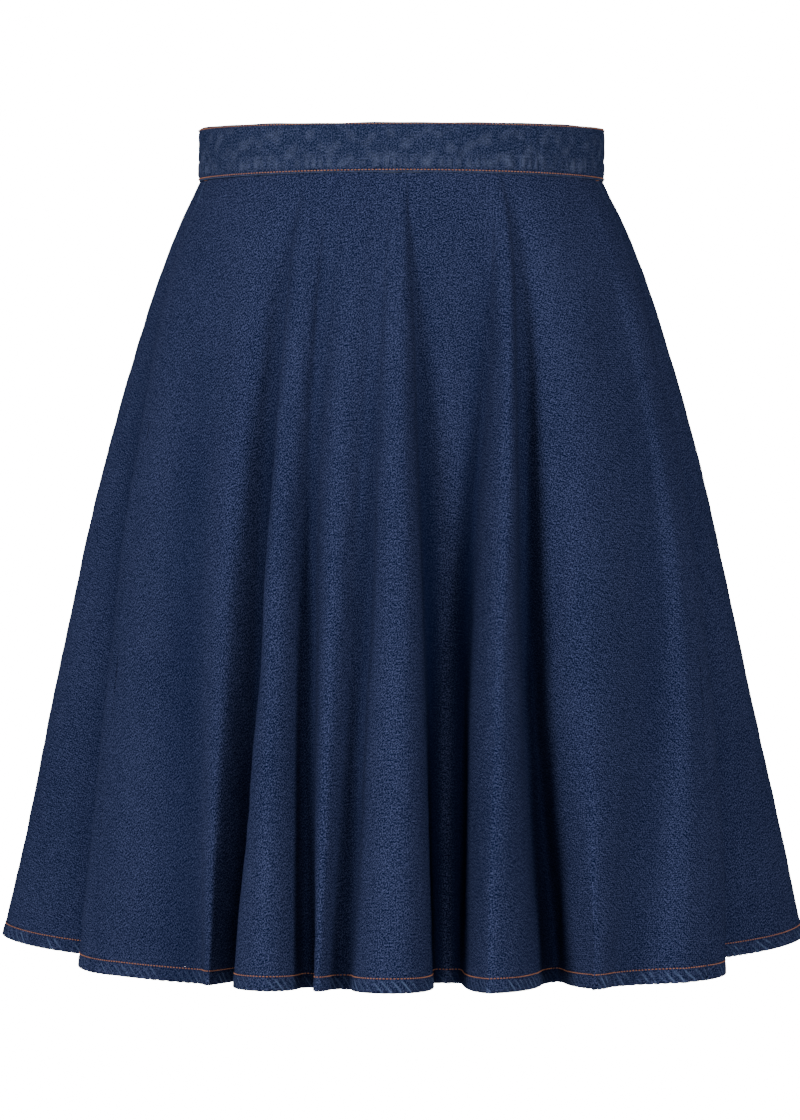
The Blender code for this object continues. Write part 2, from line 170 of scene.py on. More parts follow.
# Relief and wear of the panels, and the painted shade in the valleys of their folds
RELIEF_START = {"front_panel": 0.0, "back_panel_right": 2.0, "back_panel_left": 4.0}
RELIEF_GROWS = 0.03
PUCKERS_FADE = 0.012
SEAM_SINKS, SEAM_SINKS_WIDTH = 0.0005, 0.0016
SEAM_WEAR, SEAM_WEAR_WIDTH, SEAM_WEAR_FROM = 0.35, 0.0022, 0.0006
POCKET_WEAR = 1.4
INSIDE_WEAR = 0.3
# Painted shade in the valleys of the folds: the fold depth it is scaled by, its width in folds, how
# far it darkens the colour, and the share of the length over which it grows
DEEPEST_FOLD = 92.0
FOLD_SHADE_WIDTH = 0.17
FOLD_SHADE_TONE = 0.85
FOLD_SHADE_GROWS = 0.6

# Relief and wear of the hem. Levels are shares of its height, from its top down
ROPE_PITCH = 0.0066
ROPE_SLANT = 0.95
ROPE_SHARPNESS = 0.7
ROPE_MEAN, ROPE_HEIGHT = 0.6, 0.0007
ROPE_GROWS = (0.12, 0.5)
ROPES_INSIDE = 0.35
CREST_AT, CREST_HALF_WIDTH = 0.28, 0.13
CREST_GROWS = (0.15, 0.4)
HEM_SWELL = 0.0004
SWELL_GROWS = (0.15, 0.5)
HEM_INSIDE_WEAR = 0.4
TURNED_EDGE_ROUNDING = 0.0001
FOLD_BULGE, FOLD_FOLLOWS_ROPES = 0.75, 260

# Relief and wear of the band. Its puckers rise from its lower edge, and the short ones end below
# the ledge; the tall ones end above its middle
LEDGE_EDGE = (-0.0005, 0.0007)
LEDGE_HEIGHT = 0.00042
LEDGE_GROOVE, LEDGE_GROOVE_UP, LEDGE_GROOVE_WIDTH = 0.00035, 0.0009, 0.0007
PUCKER_LENGTH = 0.0066
SHORT_PUCKERS, SHORT_RISE, SHORT_END = 0.00030, (0.0026, 0.0050), 0.0035
TALL_PUCKERS, TALL_RISE, TALL_FALL = 0.00024, (0.0030, 0.0060), (0.010, 0.0165)
LEAST_PATCH = 0.1
PUCKER_WEAR = 0.26
LEDGE_WEAR, LEDGE_WEAR_WIDTH = 0.12, 0.0006
PATCH_WEAR = 0.16
BAND_EDGE_WEAR, BAND_EDGE_WEAR_WIDTH = 0.5, 0.0007
BAND_EDGE_ROUNDING = 0.8
BAND_RELIEF_FROM_EDGE = 0.002
BAND_TOP_WAVERS = (0.7, 1.0)

# Stitches and threads, in metres
STITCH = 0.0024
STITCH_SHOWS = 0.74
STITCH_POINTS = 5
FIRST_STITCH = 0.0004
THREAD_RADIUS = 0.00042
THREAD_SIDES = 6
THREAD_END, THREAD_TAPER = 0.12, 0.4
HEM_STITCH_DOWN = 0.0014
HEM_GROOVE, HEM_GROOVE_WIDTH, HEM_THREAD_SINKS = 0.00042, 0.0008, 0.85
STITCH_FROM_WAIST = 0.0019
STITCH_FROM_TOP = 0.0014
BAND_GROOVE, BAND_GROOVE_WIDTH, BAND_GROOVE_FLAT = 0.00030, 0.0007, 0.0012
BAND_STITCH_START = 0.0006
BAND_THREAD_SINKS = 0.00012
BAND_STITCH_CLEARS_ENDS = 0.0022

# Zip: distances of the tape's columns and of the coil's two sides from the centre back, and the
# corners of one turn of the coil (share of the way across, height off the tape)
TAPE_COLUMNS = (0.0009, 0.0016, 0.0028, 0.005, 0.008, 0.011, TAPE_WIDTH)
COIL_SIDES = (0.00045, 0.0024)
COIL_TURN = ((0.0, 0.0008), (1.0, 0.0009), (1.0, 0.0016), (0.0, 0.0015))
COIL_PITCH = 0.0012
COIL_RADIUS = 0.00028
BAG_PUFF = 0.0009

# Layers of the denim's weave: scale round and down the cloth, detail, roughness, range and share
WEAVE = {
    "grain": ((1120, 820, 1), 3.0, 0.7, (0.43, 0.61), 0.95),
    "slub": ((110, 900, 1), 2.0, 0.5, (0.35, 0.75), 0.26),
    "warp": ((1100, 45, 1), 2.0, 0.5, (0.35, 0.75), 0.20),
}
TWILL_TURN, TWILL_SCALE, TWILL_SHARE = 58, 230.0, 0.20
WASH_SCALE, WASH_SHARE = 9.0, 0.25
PALE_FROM = 0.36

# Camera: place, focal length and sensor in mm, and the tilt down from the photo's pixels
CAMERA_PLACE = (-0.00107, -3.1, -0.1735)
LENS_MM, SENSOR_MM = 139.9, 36.0
TILT_PIXELS, FOCAL_PIXELS = 160, 4352.4

# Lights: name, place, width in metres, power in watts. All are aimed at one point
LIGHTS = (
    ("left_key", (-2.9, -3.0, 1.3), 1.2, 186),
    ("right_key", (2.9, -3.0, 1.1), 1.2, 132),
    ("front_fill", (0.2, -4.4, 0.2), 1.4, 62),
    ("left_rim", (-3.4, -0.6, 0.6), 1.2, 24),
)
AIM = (0, 0, -0.3)
WORLD_STRENGTH = 0.06

# Studio paper: floor, backdrop and the glow of its middle
FLOOR_Z = -1.6
FLOOR_FRONT, FLOOR_MIDDLE, BEND_START = -9.0, 0.5, 3.0
BEND_RADIUS = 3.0
BACKDROP_TOP = 7.0
STAGE_HALF_WIDTH = 9.0
GLOW_CENTRE = (0.0, 5.2, -0.8)
GLOW_FADES = (2.2, 2.8)
GLOW_STRENGTHS = (16.0, 0.20)
PAPER_GREY = 0.35


# ---------------------------------------------------------------- curves

def spline(places, values, at):
    """A smooth curve through a few values."""
    places = np.asarray(places, float)
    values = np.asarray(values, float)
    steps = np.diff(places)
    slopes = np.diff(values) / steps
    turns = np.empty_like(values)
    turns[1:-1] = (slopes[:-1] * steps[1:] + slopes[1:] * steps[:-1]) / (steps[:-1] + steps[1:])
    turns[0] = 1.5 * slopes[0] - 0.5 * turns[1]
    turns[-1] = 1.5 * slopes[-1] - 0.5 * turns[-2]
    at = np.clip(np.asarray(at, float), places[0], places[-1])
    i = np.clip(np.searchsorted(places, at, side="right") - 1, 0, len(steps) - 1)
    h = steps[i]
    t = (at - places[i]) / h
    return ((2 * t**3 - 3 * t**2 + 1) * values[i] + (t**3 - 2 * t**2 + t) * h * turns[i]
            + (3 * t**2 - 2 * t**3) * values[i + 1] + (t**3 - t**2) * h * turns[i + 1])


def smooth(value, low, high):
    """0 below low, 1 above high, and a soft rise between them."""
    t = np.clip((np.asarray(value, float) - low) / (high - low), 0, 1)
    return t * t * (3 - 2 * t)


def bell(value, centre, width):
    """1 at the centre, falling softly to both sides."""
    return np.exp(-((value - centre) / width)**2)


def uneven(kind, u, v=0.0):
    """Smooth unevenness of one kind over the cloth, the same in each run."""
    size, seed, stretch, mean, height = UNEVEN[kind]
    chance = np.random.default_rng(seed)
    total = 0.0
    for _ in range(WAVE_COUNT):
        turn = chance.uniform(0, math.pi)
        wave = 2 * math.pi / (size * chance.uniform(*WAVE_SIZES))
        phase = chance.uniform(0, 2 * math.pi)
        total = total + np.sin(wave * (u * math.cos(turn) + v * stretch * math.sin(turn)) + phase)
    return mean + height * total / math.sqrt(WAVE_COUNT / 2) / WAVE_SPREAD


def unit(vectors):
    return vectors / np.maximum(np.linalg.norm(vectors, axis=-1, keepdims=True), 1e-12)


def distances(points):
    """Distances along each row of points from its start."""
    steps = np.linalg.norm(np.diff(points, axis=-2), axis=-1)
    start = np.zeros(steps.shape[:-1] + (1,))
    return np.concatenate([start, np.cumsum(steps, axis=-1)], axis=-1)


def values_along(line, values, at):
    """Values that are given at a line's points, at distances along the line."""
    along = distances(line[None])[0]
    return np.stack([np.interp(at, along, column) for column in values.T], axis=-1)


# ---------------------------------------------------------------- shape of the skirt

def plan(down, bearing):
    """A point of the skirt's plan without folds, and the way out from it."""
    width, front, back = (spline([row[0] for row in SECTIONS], [row[i] for row in SECTIONS], down)
                          for i in (1, 2, 3))
    depth = np.where(np.cos(bearing) > 0, front, back)
    out_x = np.sin(bearing) / width
    out_y = -np.cos(bearing) / depth
    size = np.hypot(out_x, out_y)
    return width * np.sin(bearing), -depth * np.cos(bearing), out_x / size, out_y / size


def threads(down, places):
    """Where threads lie among the folds at one distance down, from their places at the hem."""
    back = np.interp(down, *zip(*SEAM_RUNS_BACK))
    hem = (0, LEFT_SEAM, 1, 8, RIGHT_SEAM, 9, len(FOLDS))
    here = (0, LEFT_SEAM - back, 1, 8, RIGHT_SEAM + back, 9, len(FOLDS))
    return np.interp(np.mod(places, len(FOLDS)), hem, here)


def ring(down, places):
    """Plan points of the folded cloth at one distance down it, and their bearings."""
    share = down / SKIRT_LENGTH
    places = threads(down, places)
    folds = list(FOLDS) + [FOLDS[0]]
    valley = np.array([float(spline(LEVELS, fold[0], share)) for fold in folds])
    valley[-1] += 360.0
    ridge = np.array([float(spline(LEVELS, fold[2], share)) for fold in FOLDS])
    depth = np.array([fold[1] for fold in folds]) * 0.001 * share
    retreat = np.array([fold[3] for fold in FOLDS]) * 0.001 * share
    wall = np.array([fold[4] for fold in folds])
    lean = np.array([fold[5] for fold in folds]) * share

    fold = np.minimum(np.floor(places).astype(int), len(FOLDS) - 1)
    part = places - fold
    falling = part >= 0.5
    near = np.where(falling, fold + 1, fold)
    u = np.where(falling, 2 - 2 * part, 2 * part)
    side = np.where(falling, -1.0, 1.0)
    span = ridge[fold] - valley[near]
    power = np.where(falling, wall[near, 0], wall[near, 1])
    overhang = np.where(falling, np.maximum(lean[near], 0), np.minimum(lean[near], 0))
    height = depth[near] - retreat[fold]
    overhang = overhang * height / np.maximum(depth[near], 1e-9)
    room = VALLEY_ROOM * np.diff(valley)[fold] / 2
    floor = side * np.minimum(VALLEY_HALF_WIDTH, room)
    rounding = np.sin(np.minimum(u / VALLEY_PART, 1.0) * math.pi / 2)
    turn = floor * rounding + (span - floor) * u**power
    bearing = np.radians(valley[near] + turn + overhang * np.sin(math.pi * u)**2)
    inside = depth[near] - height * (1 - np.cos(math.pi * u)) / 2
    x, y, out_x, out_y = plan(down, bearing)
    return x - out_x * inside, y - out_y * inside, bearing


def hang(places):
    """Heights of the cloth at evenly spaced distances down it."""
    downs = np.linspace(0.0, SKIRT_LENGTH, FINE_ROWS + 1)
    step = downs[1]
    x, y, bearing = ring(0.0, places)
    z = [-BAND_HEIGHT / 2 - SEAM_DIP * np.sin(bearing)**2]
    for down in downs[1:]:
        next_x, next_y, bearing = ring(down, places)
        out = (next_x - x) * np.sin(bearing) - (next_y - y) * np.cos(bearing)
        z.append(z[-1] - np.sqrt(np.maximum(step**2 - out**2, (STEEPEST_SHARE * step)**2)))
        x, y = next_x, next_y
    z = np.array(z)
    scale = 1 + HEM_LEVELLING * (HEM_DROP / (z[0] - z[-1]) - 1)
    return downs, z[0] + (z - z[0]) * scale


def cloth(rows, places):
    """The middle of the cloth: one row of points for each distance down it."""
    downs, heights = hang(places)
    points = np.empty((len(rows), len(places), 3))
    for i, down in enumerate(rows):
        points[i, :, 0], points[i, :, 1], _ = ring(down, places)
        points[i, :, 2] = [np.interp(down, downs, column) for column in heights.T]
    return points


def ways_out(points):
    """Outward directions of an open grid of cloth at its points."""
    return unit(np.cross(np.gradient(points, axis=0), np.gradient(points, axis=1)))


def cloth_and_ways(rows, places):
    """The middle of the cloth and its outward directions, true up to its side edges."""
    step = places[1] - places[0]
    points = cloth(rows, np.concatenate([[places[0] - step], places, [places[-1] + step]]))
    return points[:, 1:-1], ways_out(points)[:, 1:-1]


def waist_length(places):
    x, y, _ = ring(0.0, places)
    return distances(np.column_stack([x, y])[None])[0, -1]


def cut_points(rows, around):
    """Points of the flat half circle that the cloth was cut from."""
    angle = around / FLAT_WAIST_RADIUS
    radius = FLAT_WAIST_RADIUS + rows
    return np.stack([radius * np.sin(angle), -radius * np.cos(angle)], axis=-1)


# ---------------------------------------------------------------- meshes

def new_piece(name, points, faces, materials):
    mesh = bpy.data.meshes.new(name)
    mesh.from_pydata(np.asarray(points).reshape(-1, 3).tolist(), [], faces)
    mesh.update()
    mesh.shade_smooth()
    made = bpy.data.objects.new(name, mesh)
    for material in materials:
        made.data.materials.append(material)
    bpy.context.scene.collection.objects.link(made)
    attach(made, "skirt")
    return made


def loft(name, loops, materials, inner_from=None, flat=None, worn=None, fold_shade=None):
    """A closed tube of cloth. loops is an even number of rows, round the section from the outer
    top edge down to the outer bottom edge and back up the inside. Rows from inner_from on have
    the second material. flat holds the points of the cut cloth for the weave, worn how worn
    each point is, and fold_shade how much painted shade each point gets deep in a fold."""
    count, columns = loops.shape[:2]
    k = np.arange(count)[:, None]
    j = np.arange(columns - 1)[None, :]
    below = (k + 1) % count
    quads = np.stack(np.broadcast_arrays(k * columns + j, below * columns + j,
                                         below * columns + j + 1, k * columns + j + 1), axis=-1)
    quads = quads.reshape(-1, 4)
    i = np.arange(count // 2 - 1)
    mirror = count - 1 - i
    first = np.stack([i * columns, mirror * columns, (mirror - 1) * columns, (i + 1) * columns], 1)
    last = first[:, ::-1] + columns - 1
    faces = np.concatenate([quads, first, last])
    made = new_piece(name, loops, faces.tolist(), materials)
    if inner_from is not None:
        slots = np.zeros(len(faces), int)
        slots[:len(quads)] = np.repeat(np.arange(count), columns - 1) >= inner_from
        made.data.polygons.foreach_set("material_index", slots)
    if flat is not None:
        layer = made.data.uv_layers.new(name="cut")
        corners = np.empty(len(made.data.loops), int)
        made.data.loops.foreach_get("vertex_index", corners)
        layer.data.foreach_set("uv", flat.reshape(-1, 2)[corners].ravel())
    # worn is wear of the cloth; the other attribute is painted shade deep in the folds
    for label, values in (("worn", worn), ("fold_shade", fold_shade)):
        if values is not None:
            layer = made.data.attributes.new(label, "FLOAT", "POINT")
            layer.data.foreach_set("value", values.ravel())
    made.data.set_sharp_from_angle(angle=math.radians(SHARP_ANGLE))
    return made


def round_section(rows, inside=1.0, turns=0):
    """Values for the loops of a section from those on its outer face: they hold over the turned
    edge, which has a number of loops, and are scaled on the inside."""
    return np.concatenate([rows, np.repeat(rows[-1:], turns, axis=0), rows[::-1] * inside])


def meet_at_seams(grid):
    """Reaches half the overlap past the seam at both ends of every row, so no light gets
    through."""
    grid = grid.copy()
    grid[:, 0] -= unit(grid[:, 1] - grid[:, 0]) * SEAM_OVERLAP / 2
    grid[:, -1] -= unit(grid[:, -2] - grid[:, -1]) * SEAM_OVERLAP / 2
    return grid


def tubes(name, paths, radius, material):
    """Round threads along paths, which all have the same number of points, in one piece."""
    number, length = paths.shape[:2]
    sides = THREAD_SIDES
    ahead = unit(np.gradient(paths, axis=1))
    up = np.zeros_like(ahead)
    up[..., 2] = 1.0
    across = unit(np.cross(ahead, up) + 1e-6)
    up = np.cross(across, ahead)
    taper = np.sin(np.linspace(THREAD_END, math.pi - THREAD_END, length))**THREAD_TAPER
    turn = np.linspace(0, 2 * math.pi, sides, endpoint=False)
    round_it = (across[:, :, None] * np.cos(turn)[None, None, :, None]
                + up[:, :, None] * np.sin(turn)[None, None, :, None])
    points = paths[:, :, None] + round_it * (taper * radius)[None, :, None, None]
    start = (np.arange(number) * length * sides)[:, None, None]
    i = (np.arange(length - 1) * sides)[None, :, None]
    s = np.arange(sides)[None, None, :]
    after = (s + 1) % sides
    quads = np.stack(np.broadcast_arrays(start + i + s, start + i + after,
                                         start + i + sides + after, start + i + sides + s), axis=-1)
    faces = quads.reshape(-1, 4).tolist()
    for low in start.ravel().tolist():
        high = low + (length - 1) * sides
        faces.append(tuple(low + j for j in reversed(range(sides))))
        faces.append(tuple(high + j for j in range(sides)))
    return new_piece(name, points, faces, [material])


def stitches(name, line, out, start=0.0):
    """A row of topstitches on the cloth: each shows as a short thread that dips in at its ends."""
    first = np.arange(start + FIRST_STITCH, distances(line[None])[0, -1] - STITCH, STITCH)
    t = np.linspace(0.07, 0.93, STITCH_POINTS)
    at = first[:, None] + t[None, :] * STITCH * STITCH_SHOWS
    lift = THREAD_RADIUS * (np.sin(math.pi * t) * 1.1 - 0.55)
    paths = values_along(line, line, at)
    paths = paths + unit(values_along(line, out, at)) * lift[None, :, None]
    return tubes(name, paths, THREAD_RADIUS, RUST)


# ---------------------------------------------------------------- materials

class Nodes:
    """Short ways to add and join a material's nodes."""

    def __init__(self, name):
        self.material = bpy.data.materials.new(name)
        self.material.use_nodes = True
        self.tree = self.material.node_tree
        self.shader = self.tree.nodes["Principled BSDF"]

    def add(self, kind, settings=(), **inputs):
        node = self.tree.nodes.new(kind)
        for key, value in dict(settings).items():
            setattr(node, key, value)
        for key, value in inputs.items():
            self.put(node.inputs[key.replace("_", " ")], value)
        return node

    def put(self, socket, value):
        if isinstance(value, bpy.types.NodeSocket):
            self.tree.links.new(value, socket)
        else:
            socket.default_value = value

    def shade(self, **inputs):
        """Sets the shader's own sockets, named with _ for each space."""
        for key, value in inputs.items():
            self.put(self.shader.inputs[key.replace("_", " ")], value)

    def math(self, operation, a, b):
        node = self.tree.nodes.new("ShaderNodeMath")
        node.operation = operation
        self.put(node.inputs[0], a)
        self.put(node.inputs[1], b)
        return node.outputs[0]

    def plus(self, a, b):
        return self.math("ADD", a, b)

    def times(self, a, b):
        return self.math("MULTIPLY", a, b)

    def mix(self, share, a, b):
        node = self.tree.nodes.new("ShaderNodeMix")
        node.data_type = "RGBA"
        self.put(node.inputs[0], share)
        self.put(node.inputs[6], a)
        self.put(node.inputs[7], b)
        return node.outputs[2]

    def stretch(self, value, low, high):
        node = self.tree.nodes.new("ShaderNodeMapRange")
        self.put(node.inputs[0], value)
        node.inputs[1].default_value = low
        node.inputs[2].default_value = high
        return node.outputs[0]

    def noise(self, vector, scale, detail, roughness):
        node = self.add("ShaderNodeTexNoise", Vector=vector, Scale=scale, Detail=detail,
                        Roughness=roughness)
        return node.outputs["Fac"]

    def bands(self, vector, direction, **inputs):
        node = self.add("ShaderNodeTexWave", {"wave_type": "BANDS", "bands_direction": direction},
                        Vector=vector, **inputs)
        return node.outputs["Fac"]

    def scaled(self, vector, scale, turn=0.0):
        node = self.add("ShaderNodeMapping", Vector=vector)
        node.inputs["Scale"].default_value = scale
        node.inputs["Rotation"].default_value = (0.0, 0.0, turn)
        return node.outputs[0]

    def attribute(self, name):
        return self.add("ShaderNodeAttribute", {"attribute_name": name}).outputs["Fac"]

    def place(self):
        return self.add("ShaderNodeTexCoord").outputs["Object"]

    def bump(self, height, strength, distance):
        node = self.add("ShaderNodeBump", Height=height, Strength=strength, Distance=distance)
        self.shade(Normal=node.outputs[0])


def colour(r, g, b):
    return (r, g, b, 1.0)


def denim(name, dark, light, worn_colour):
    """Woven denim: dark warp over pale weft in a twill, with slubs, wash and wear, and painted
    shade deep in the folds where a piece carries it.
    """
    n = Nodes(name)
    cut = n.add("ShaderNodeUVMap", {"uv_map": "cut"}).outputs[0]
    twill = n.bands(n.scaled(cut, (1, 1, 1), math.radians(TWILL_TURN)), "X", Scale=TWILL_SCALE,
                    Distortion=2.5, Detail=1.0, Detail_Scale=1.5)
    weave = n.times(twill, TWILL_SHARE)
    layers = {}
    for label, (scale, detail, roughness, span, share) in WEAVE.items():
        layers[label] = n.noise(n.scaled(cut, scale), 1.0, detail, roughness)
        weave = n.plus(weave, n.times(n.stretch(layers[label], *span), share))
    grain = layers["grain"]
    wash = n.times(n.math("SUBTRACT", n.noise(cut, WASH_SCALE, 3.0, 0.55), 0.5), WASH_SHARE)
    pale = n.plus(n.math("SUBTRACT", weave, PALE_FROM), wash)
    base = n.mix(n.math("MAXIMUM", n.math("MINIMUM", pale, 1.0), 0.0), dark, light)
    fade = n.times(n.attribute("worn"), n.plus(0.35, n.times(grain, 1.1)))
    base = n.mix(n.math("MINIMUM", fade, 1.0), base, worn_colour)
    # Painted shade: the colour darkens towards the dark tone deep in the folds, where their shadow
    # falls
    base = n.mix(n.times(n.attribute("fold_shade"), FOLD_SHADE_TONE), base, dark)
    n.shade(Base_Color=base, Roughness=n.stretch(grain, -1.2, 1.1), Specular_IOR_Level=0.0)
    height = n.plus(n.times(grain, 0.8), n.times(twill, 0.25))
    n.bump(n.plus(height, n.times(layers["slub"], 0.5)), 0.55, 0.00035)
    return n.material


def thread(name, shade, light):
    n = Nodes(name)
    where = n.place()
    ply = n.bands(where, "DIAGONAL", Scale=900.0, Distortion=1.0)
    tone = n.noise(where, 60.0, 2.0, 0.5)
    share = n.plus(n.times(ply, 0.35), n.times(tone, 0.5))
    n.shade(Base_Color=n.mix(share, shade, light), Roughness=n.plus(0.5, n.times(ply, 0.15)),
            Specular_IOR_Level=0.1)
    n.bump(ply, 0.4, 0.0001)
    return n.material


def woven_cotton(name, shade, light, scale):
    n = Nodes(name)
    where = n.place()
    weave = n.times(n.bands(where, "X", Scale=scale, Distortion=0.6),
                    n.bands(where, "Z", Scale=scale, Distortion=0.6))
    tone = n.noise(where, 40.0, 3.0, 0.6)
    share = n.plus(n.times(weave, 0.5), n.times(tone, 0.5))
    n.shade(Base_Color=n.mix(share, shade, light), Roughness=n.plus(0.78, n.times(tone, 0.2)))
    n.bump(weave, 0.4, 0.00015)
    return n.material


def lacquer(name, shade, worn_shade):
    n = Nodes(name)
    where = n.place()
    tone = n.noise(where, 500.0, 3.0, 0.6)
    chips = n.stretch(n.noise(where, 900.0, 2.0, 0.7), 0.62, 0.72)
    n.shade(Base_Color=n.mix(chips, shade, worn_shade), Metallic=0.75,
            Roughness=n.plus(0.28, n.times(tone, 0.2)))
    n.bump(tone, 0.15, 0.0001)
    return n.material


DENIM = denim("denim_face", colour(0.0020, 0.0048, 0.0205), colour(0.051, 0.063, 0.137),
              colour(0.080, 0.115, 0.210))
BAND_DENIM = denim("denim_band", colour(0.0034, 0.0075, 0.0250), colour(0.045, 0.057, 0.120),
                   colour(0.100, 0.120, 0.195))
WRONG_SIDE = denim("denim_wrong_side", colour(0.050, 0.072, 0.115), colour(0.240, 0.280, 0.350),
                   colour(0.30, 0.34, 0.40))
RUST = thread("rust_thread", colour(0.170, 0.062, 0.034), colour(0.44, 0.19, 0.105))
COTTON = woven_cotton("bag_cotton", colour(0.46, 0.45, 0.41), colour(0.66, 0.65, 0.61), 207.0)
TAPE = woven_cotton("tape_weave", colour(0.010, 0.014, 0.030), colour(0.030, 0.040, 0.075), 414.0)
COIL = lacquer("coil_nylon", colour(0.012, 0.018, 0.040), colour(0.03, 0.04, 0.07))
METAL = lacquer("navy_lacquer", colour(0.030, 0.040, 0.075), colour(0.30, 0.31, 0.33))


# ---------------------------------------------------------------- panels

def cloth_relief(around, down):
    """Small soft unevenness of hanging denim, in metres outwards."""
    hanging = uneven("long_folds", around, down) + uneven("dimples", around, down)
    puckers = uneven("waist_puckers", around, down) * np.exp(-down / PUCKERS_FADE)
    return hanging * smooth(down, 0.0, RELIEF_GROWS) + puckers


def pocket_lift(down, edge):
    """How far the cloth stands out at a pocket's opening, by its distance from the side seam."""
    gape = np.clip((down - POCKET_TOP) / (POCKET_BOTTOM - POCKET_TOP), 0, 1)
    return POCKET_STANDS_OUT * np.sin(math.pi * gape) * bell(edge, 0, POCKET_REACH)


def panel_surface(name, rows, places):
    """Middle points of a panel, ways out, distances to its nearer side edge, and cut points."""
    points, out = cloth_and_ways(rows, places)
    along = distances(points)
    edge = np.minimum(along, along[:, -1:] - along)
    around = waist_length(places) * (along / along[:, -1:] - 0.5)
    down = np.asarray(rows)[:, None] * np.ones((1, len(places)))
    flat = cut_points(down, around)
    lift = cloth_relief(flat[..., 0] + RELIEF_START[name], down)
    if name == "front_panel":
        lift = lift + pocket_lift(down, edge)
    lift = lift - SEAM_SINKS * bell(edge, 0, SEAM_SINKS_WIDTH)
    return points + out * lift[..., None], out, edge, flat


def painted_fold_shade(rows, places):
    """Painted shade deep in the folds, 0 to 1: strongest at the valleys of the deepest folds and
    growing down the skirt, it darkens the colour where the folds' shadow falls.
    """
    nearest = np.rint(places)
    depth = np.array([fold[1] for fold in FOLDS])[np.mod(nearest, len(FOLDS)).astype(int)]
    across = depth / DEEPEST_FOLD * bell(places, nearest, FOLD_SHADE_WIDTH)
    return smooth(rows / SKIRT_LENGTH, 0.0, FOLD_SHADE_GROWS)[:, None] * across[None, :]


def make_panel(name):
    start, end = PANELS[name]
    places = np.linspace(start, end, int((end - start) * COLUMNS_A_FOLD) + 1)
    rows = np.concatenate([[SEAM_GAP / 2], np.linspace(SECOND_ROW, HEM_TOP, PANEL_ROWS)])
    points, out, edge, flat = panel_surface(name, rows, places)
    out[0, :, 2] = 0
    out[0] = unit(out[0])
    half = CLOTH_THICKNESS / 2
    outer = meet_at_seams(points + out * half)
    inner = meet_at_seams(points - out * half)
    worn = SEAM_WEAR * bell(edge, 0, SEAM_WEAR_WIDTH) * (edge > SEAM_WEAR_FROM)
    if name == "front_panel":
        opening = (rows > POCKET_TOP) & (rows < POCKET_BOTTOM)
        worn = worn * (1 + POCKET_WEAR * opening[:, None])
    # The last attribute is painted shade deep in the folds
    piece = loft(name + "_cloth", np.concatenate([outer, inner[::-1]]), [DENIM, WRONG_SIDE],
                 len(rows), round_section(flat), round_section(worn, INSIDE_WEAR),
                 round_section(painted_fold_shade(rows, places)))
    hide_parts(name)
    return piece


# ---------------------------------------------------------------- hems

def hem_places(name):
    """Places at even distances along a panel's hem."""
    dense = np.linspace(*PANELS[name], HEM_SAMPLES)
    lowest, middle = distances(cloth([SKIRT_LENGTH, SKIRT_LENGTH - HEM_HEIGHT / 2], dense))
    return np.interp(np.linspace(0, middle[-1], int(lowest[-1] / HEM_COLUMN)), middle, dense)


def hem_ropes(around, t):
    """Diagonal roping of a turned hem: outward relief in metres, and how worn it is."""
    phase = (around - ROPE_SLANT * t * HEM_HEIGHT + uneven("rope_slip", around)) / ROPE_PITCH
    rope = np.abs(np.sin(math.pi * phase))**ROPE_SHARPNESS
    relief = (rope - ROPE_MEAN) * ROPE_HEIGHT * uneven("rope_strength", around)
    crest = np.clip(1 - np.abs(np.mod(phase, 1.0) - CREST_AT) / CREST_HALF_WIDTH, 0, 1)
    worn = crest * np.clip(uneven("rope_wear", around), 0, 1)
    return relief * smooth(t, *ROPE_GROWS), worn * smooth(t, *CREST_GROWS)


def make_hem(name):
    places = hem_places(name)
    t = np.array(HEM_LEVELS)
    rows = HEM_TOP + t * HEM_HEIGHT * HEM_LEVELS_REACH
    sewn_down = HEM_TOP + HEM_STITCH_DOWN
    points, out, _, flat = panel_surface(name, rows, places)
    ropes, worn = hem_ropes(distances(points)[0][None, :], t[:, None])
    half = CLOTH_THICKNESS / 2
    groove = HEM_GROOVE * bell(rows, sewn_down, HEM_GROOVE_WIDTH)
    outside = half + (HEM_SWELL * smooth(t, *SWELL_GROWS) - groove)[:, None] + ropes
    inside = HEM_THICKNESS - half + ROPES_INSIDE * ropes
    inside[0] = half + TURNED_EDGE_ROUNDING
    inside[1] = HEM_THICKNESS / 2 + 2 * TURNED_EDGE_ROUNDING
    outer = points + out * outside[..., None]
    inner = points - out * inside[..., None]

    down_way = unit(points[-1] - points[-2])
    middle = (outer[-1] + inner[-1]) / 2
    reach = np.linalg.norm(outer[-1] - inner[-1], axis=1)[:, None] / 2
    bulge = down_way * reach * (FOLD_BULGE + FOLD_FOLLOWS_ROPES * ropes[-1][:, None])
    fold = [middle + (outer[-1] - middle) * math.cos(angle) + bulge * math.sin(angle)
            for angle in np.radians(HEM_FOLD_ANGLES)]
    loops = np.concatenate([meet_at_seams(outer), fold, meet_at_seams(inner)[::-1]])
    hem = name.replace("panel", "hem")
    # The last attribute is painted shade deep in the folds
    piece = loft(hem + "_turned", loops, [DENIM], None, round_section(flat, turns=len(fold)),
                 round_section(worn, HEM_INSIDE_WEAR, len(fold)),
                 round_section(painted_fold_shade(rows, places), turns=len(fold)))

    lines, ways, _, _ = panel_surface(name, sewn_down + np.array([-0.001, 0.0, 0.001]), places)
    line, way = lines[1], ways[1]
    face = line + way * (half - groove.max() * HEM_THREAD_SINKS)
    stitches(hem + "_topstitch", face, way)
    back = line - way * (HEM_THICKNESS - half)
    stitches(hem + "_inner_stitch", back, -way)
    return piece


# ---------------------------------------------------------------- waistband

